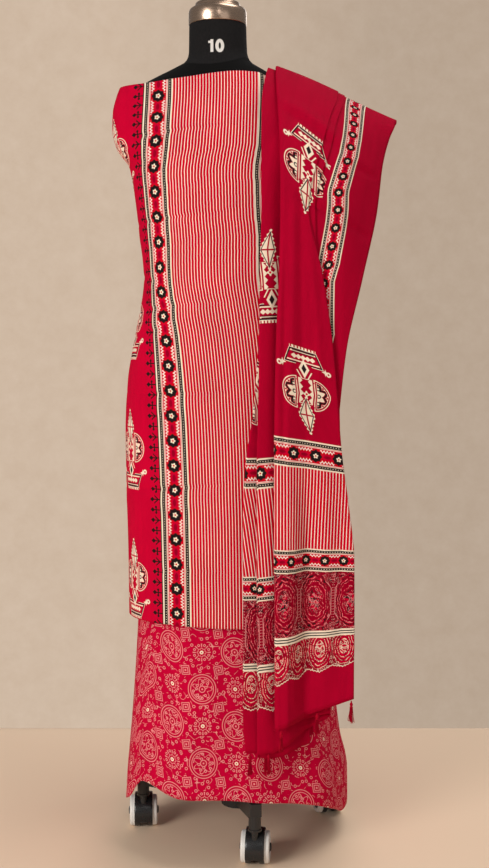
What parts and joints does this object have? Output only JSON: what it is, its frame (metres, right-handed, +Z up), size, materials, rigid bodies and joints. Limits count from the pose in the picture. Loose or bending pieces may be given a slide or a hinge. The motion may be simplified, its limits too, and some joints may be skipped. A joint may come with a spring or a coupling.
{
  "type": "ajrakh cloth set draped on a dress form with a caster base",
  "caption": "Block-printed cloths wrapped and draped on a padded dress form: a long top cloth, a bottom cloth and a folded shawl with tassels, on a rolling stand.",
  "frame": {"origin": "on the floor under the middle of the whole, casters included", "axes": "+Z up the stand's upright, -Y towards the wearer's front, +X towards the wearer's left shoulder, which carries the shawl"},
  "size_m": [0.5265, 0.5006, 1.6041],
  "materials": {
    "form_jersey": "black knitted jersey",
    "steel": "brushed",
    "base_black": "satin black",
    "hood_black": "satin black",
    "wheel_white": "off-white",
    "kurta_print": "block-printed",
    "skirt_print": "block-printed",
    "shawl_print": "block-printed",
    "tassel_thread": "loose thread"
  },
  "bodies": {
    "stand": {"base_frame": "base_black", "pole": "steel", "form_torso": "form_jersey", "neck_cap": "steel", "neck_knob": "steel", "kurta_cloth": "kurta_print", "bottom_cloth": "skirt_print", "shawl_cloth": "shawl_print", "tassel_front_1": "tassel_thread", "tassel_front_2": "tassel_thread", "tassel_front_3": "tassel_thread", "tassel_front_4": "tassel_thread", "tassel_front_5": "tassel_thread", "tassel_front_6": "tassel_thread", "tassel_back_1": "tassel_thread", "tassel_back_2": "tassel_thread", "tassel_back_3": "tassel_thread", "tassel_back_4": "tassel_thread"},
    "front_caster": {"caster_front_hood": "hood_black"},
    "front_wheel_left": {"caster_front_wheel_left": "wheel_white"},
    "front_wheel_right": {"caster_front_wheel_right": "wheel_white"},
    "right_caster": {"caster_right_hood": "hood_black"},
    "right_wheel_left": {"caster_right_wheel_left": "wheel_white"},
    "right_wheel_right": {"caster_right_wheel_right": "wheel_white"},
    "rear_caster": {"caster_rear_hood": "hood_black"},
    "rear_wheel_left": {"caster_rear_wheel_left": "wheel_white"},
    "rear_wheel_right": {"caster_rear_wheel_right": "wheel_white"},
    "left_caster": {"caster_left_hood": "hood_black"},
    "left_wheel_left": {"caster_left_wheel_left": "wheel_white"},
    "left_wheel_right": {"caster_left_wheel_right": "wheel_white"}
  },
  "joints": [
    {"name": "front_caster_swivel", "type": "hinge", "parent": "stand", "child": "front_caster", "pos_m": [0.00003, -0.17342, 0.0745], "axis": [0, 0, 1], "continuous": true},
    {"name": "front_left_wheel_spin", "type": "hinge", "parent": "front_caster", "child": "front_wheel_left", "pos_m": [-0.01536, -0.152, 0.03], "axis": [0.9962, -0.0872, 0], "continuous": true},
    {"name": "front_right_wheel_spin", "type": "hinge", "parent": "front_caster", "child": "front_wheel_right", "pos_m": [0.01891, -0.155, 0.03], "axis": [0.9962, -0.0872, 0], "continuous": true},
    {"name": "right_caster_swivel", "type": "hinge", "parent": "stand", "child": "right_caster", "pos_m": [0.15442, 0.04303, 0.0745], "axis": [0, 0, 1], "continuous": true},
    {"name": "right_left_wheel_spin", "type": "hinge", "parent": "right_caster", "child": "right_wheel_left", "pos_m": [0.13289, 0.05827, 0.03], "axis": [0.9703, 0.2419, 0], "continuous": true},
    {"name": "right_right_wheel_spin", "type": "hinge", "parent": "right_caster", "child": "right_wheel_right", "pos_m": [0.16627, 0.0666, 0.03], "axis": [0.9703, 0.2419, 0], "continuous": true},
    {"name": "rear_caster_swivel", "type": "hinge", "parent": "stand", "child": "rear_caster", "pos_m": [-0.06203, 0.19742, 0.0745], "axis": [0, 0, 1], "continuous": true},
    {"name": "rear_left_wheel_spin", "type": "hinge", "parent": "rear_caster", "child": "rear_wheel_left", "pos_m": [-0.07469, 0.22056, 0.03], "axis": [0.9781, -0.2079, 0], "continuous": true},
    {"name": "rear_right_wheel_spin", "type": "hinge", "parent": "rear_caster", "child": "rear_wheel_right", "pos_m": [-0.04105, 0.21341, 0.03], "axis": [0.9781, -0.2079, 0], "continuous": true},
    {"name": "left_caster_swivel", "type": "hinge", "parent": "stand", "child": "left_caster", "pos_m": [-0.21642, -0.01903, 0.0745], "axis": [0, 0, 1], "continuous": true},
    {"name": "left_left_wheel_spin", "type": "hinge", "parent": "left_caster", "child": "left_wheel_left", "pos_m": [-0.23497, -0.00028, 0.03], "axis": [0.9976, 0.0698, 0], "continuous": true},
    {"name": "left_right_wheel_spin", "type": "hinge", "parent": "left_caster", "child": "left_wheel_right", "pos_m": [-0.20066, 0.00212, 0.03], "axis": [0.9976, 0.0698, 0], "continuous": true}
  ]
}
